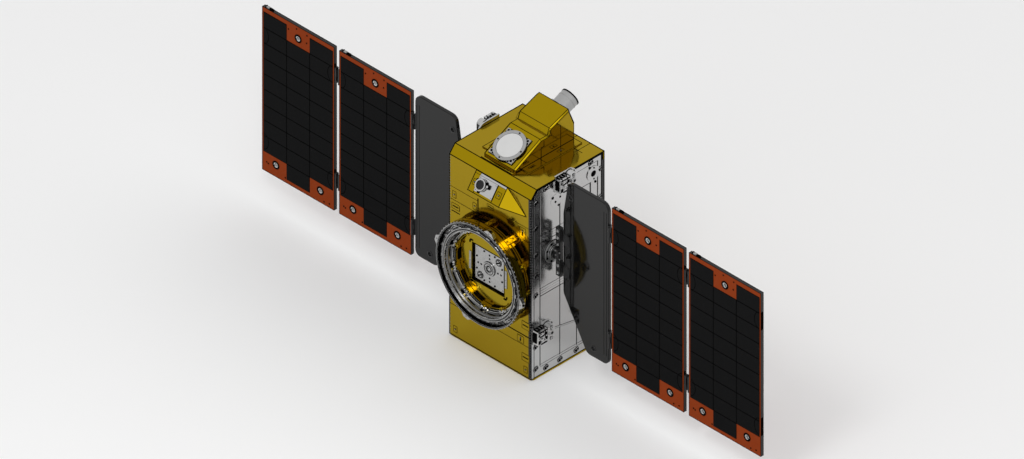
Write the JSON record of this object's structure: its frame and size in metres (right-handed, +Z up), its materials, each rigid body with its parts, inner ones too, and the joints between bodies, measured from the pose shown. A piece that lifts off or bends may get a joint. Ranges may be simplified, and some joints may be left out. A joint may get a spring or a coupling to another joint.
{
  "type": "small satellite with folding solar wings",
  "caption": "Box-shaped small satellite in gold film with a front separation ring, a sloped top housing and folding solar wings on turning drives.",
  "frame": {"origin": "centre of the bus's bottom face", "axes": "+X along the right wing, +Y from the separation ring to the back, +Z up"},
  "size_m": [2.446, 0.4592, 0.9594],
  "materials": {
    "gold_film": "satin metallised film",
    "silver_panel": "satin",
    "black_trim": "matte",
    "equipment": "matte",
    "gold_adapter": "satin gold",
    "ring_metal": "machined",
    "lens_glass": "polished",
    "grey_metal": "satin",
    "radome_white": "satin white paint",
    "shaft_steel": "ground",
    "yoke_dark": "matte carbon fibre",
    "hinge_black": "black anodised",
    "board_orange": "satin film",
    "solar_cell": "glass covered cell"
  },
  "bodies": {
    "bus": {"bottom_panel": "gold_film", "top_panel": "gold_film", "front_panel": "gold_film", "rear_panel": "gold_film", "sensor_wedge": "gold_film", "sensor_tent": "gold_film", "top_housing": "gold_film", "housing_skirt": "gold_film", "side_panel_right": "silver_panel", "side_panel_left": "silver_panel", "corner_posts": "black_trim", "equipment_block": "equipment", "adapter_drum": "gold_adapter", "separation_ring": "ring_metal", "ring_band": "black_trim", "ring_leaves": "ring_metal", "ring_lugs": "ring_metal", "ring_flange": "ring_metal", "thruster_plate": "ring_metal", "sensor_head": "silver_panel", "sensor_lens": "lens_glass", "antenna_base": "silver_panel", "antenna_ring": "grey_metal", "antenna_radome": "radome_white", "star_tracker_baffle": "grey_metal", "star_tracker_lens": "lens_glass", "holddowns_right": "silver_panel", "holddowns_left": "silver_panel", "drive_housing_right": "grey_metal", "drive_housing_left": "grey_metal", "side_port": "silver_panel"},
    "right_drive": {"right_drive_shaft": "shaft_steel", "right_root_bracket": "yoke_dark", "right_root_hinges": "hinge_black"},
    "right_yoke": {"right_yoke_plate": "yoke_dark", "right_yoke_hinges": "hinge_black"},
    "right_inner": {"right_inner_panel": "board_orange", "right_inner_cells": "solar_cell", "right_inner_cups": "silver_panel", "right_inner_hinges": "hinge_black"},
    "right_outer": {"right_outer_panel": "board_orange", "right_outer_cells": "solar_cell", "right_outer_cups": "silver_panel", "right_outer_hinges": "hinge_black"},
    "left_drive": {"left_drive_shaft": "shaft_steel", "left_root_bracket": "yoke_dark", "left_root_hinges": "hinge_black"},
    "left_yoke": {"left_yoke_plate": "yoke_dark", "left_yoke_hinges": "hinge_black"},
    "left_inner": {"left_inner_panel": "board_orange", "left_inner_cells": "solar_cell", "left_inner_cups": "silver_panel", "left_inner_hinges": "hinge_black"},
    "left_outer": {"left_outer_panel": "board_orange", "left_outer_cells": "solar_cell", "left_outer_cups": "silver_panel", "left_outer_hinges": "hinge_black"}
  },
  "joints": [
    {"name": "right_drive_turn", "type": "hinge", "parent": "bus", "child": "right_drive", "pos_m": [0.2, -0.069, 0.5], "axis": [1, 0, 0], "continuous": true},
    {"name": "right_root_fold", "type": "hinge", "parent": "right_drive", "child": "right_yoke", "pos_m": [0.245, -0.054, 0.485], "axis": [0, 0, 1], "range_deg": [0, 90]},
    {"name": "right_inner_fold", "type": "hinge", "parent": "right_yoke", "child": "right_inner", "pos_m": [0.484, -0.08, 0.485], "axis": [0, 0, -1], "range_deg": [0, 180]},
    {"name": "right_outer_fold", "type": "hinge", "parent": "right_inner", "child": "right_outer", "pos_m": [0.858, -0.0573, 0.485], "axis": [0, 0, 1], "range_deg": [0, 180]},
    {"name": "left_drive_turn", "type": "hinge", "parent": "bus", "child": "left_drive", "pos_m": [-0.2, -0.069, 0.5], "axis": [1, 0, 0], "continuous": true},
    {"name": "left_root_fold", "type": "hinge", "parent": "left_drive", "child": "left_yoke", "pos_m": [-0.245, -0.054, 0.485], "axis": [0, 0, -1], "range_deg": [0, 90]},
    {"name": "left_inner_fold", "type": "hinge", "parent": "left_yoke", "child": "left_inner", "pos_m": [-0.484, -0.08, 0.485], "axis": [0, 0, 1], "range_deg": [0, 180]},
    {"name": "left_outer_fold", "type": "hinge", "parent": "left_inner", "child": "left_outer", "pos_m": [-0.858, -0.0573, 0.485], "axis": [0, 0, -1], "range_deg": [0, 180]}
  ],
  "couplings": [
    {"joint": "right_inner_fold", "follows": "right_root_fold", "ratio": 2},
    {"joint": "right_outer_fold", "follows": "right_root_fold", "ratio": 2},
    {"joint": "left_inner_fold", "follows": "left_root_fold", "ratio": 2},
    {"joint": "left_outer_fold", "follows": "left_root_fold", "ratio": 2}
  ]
}
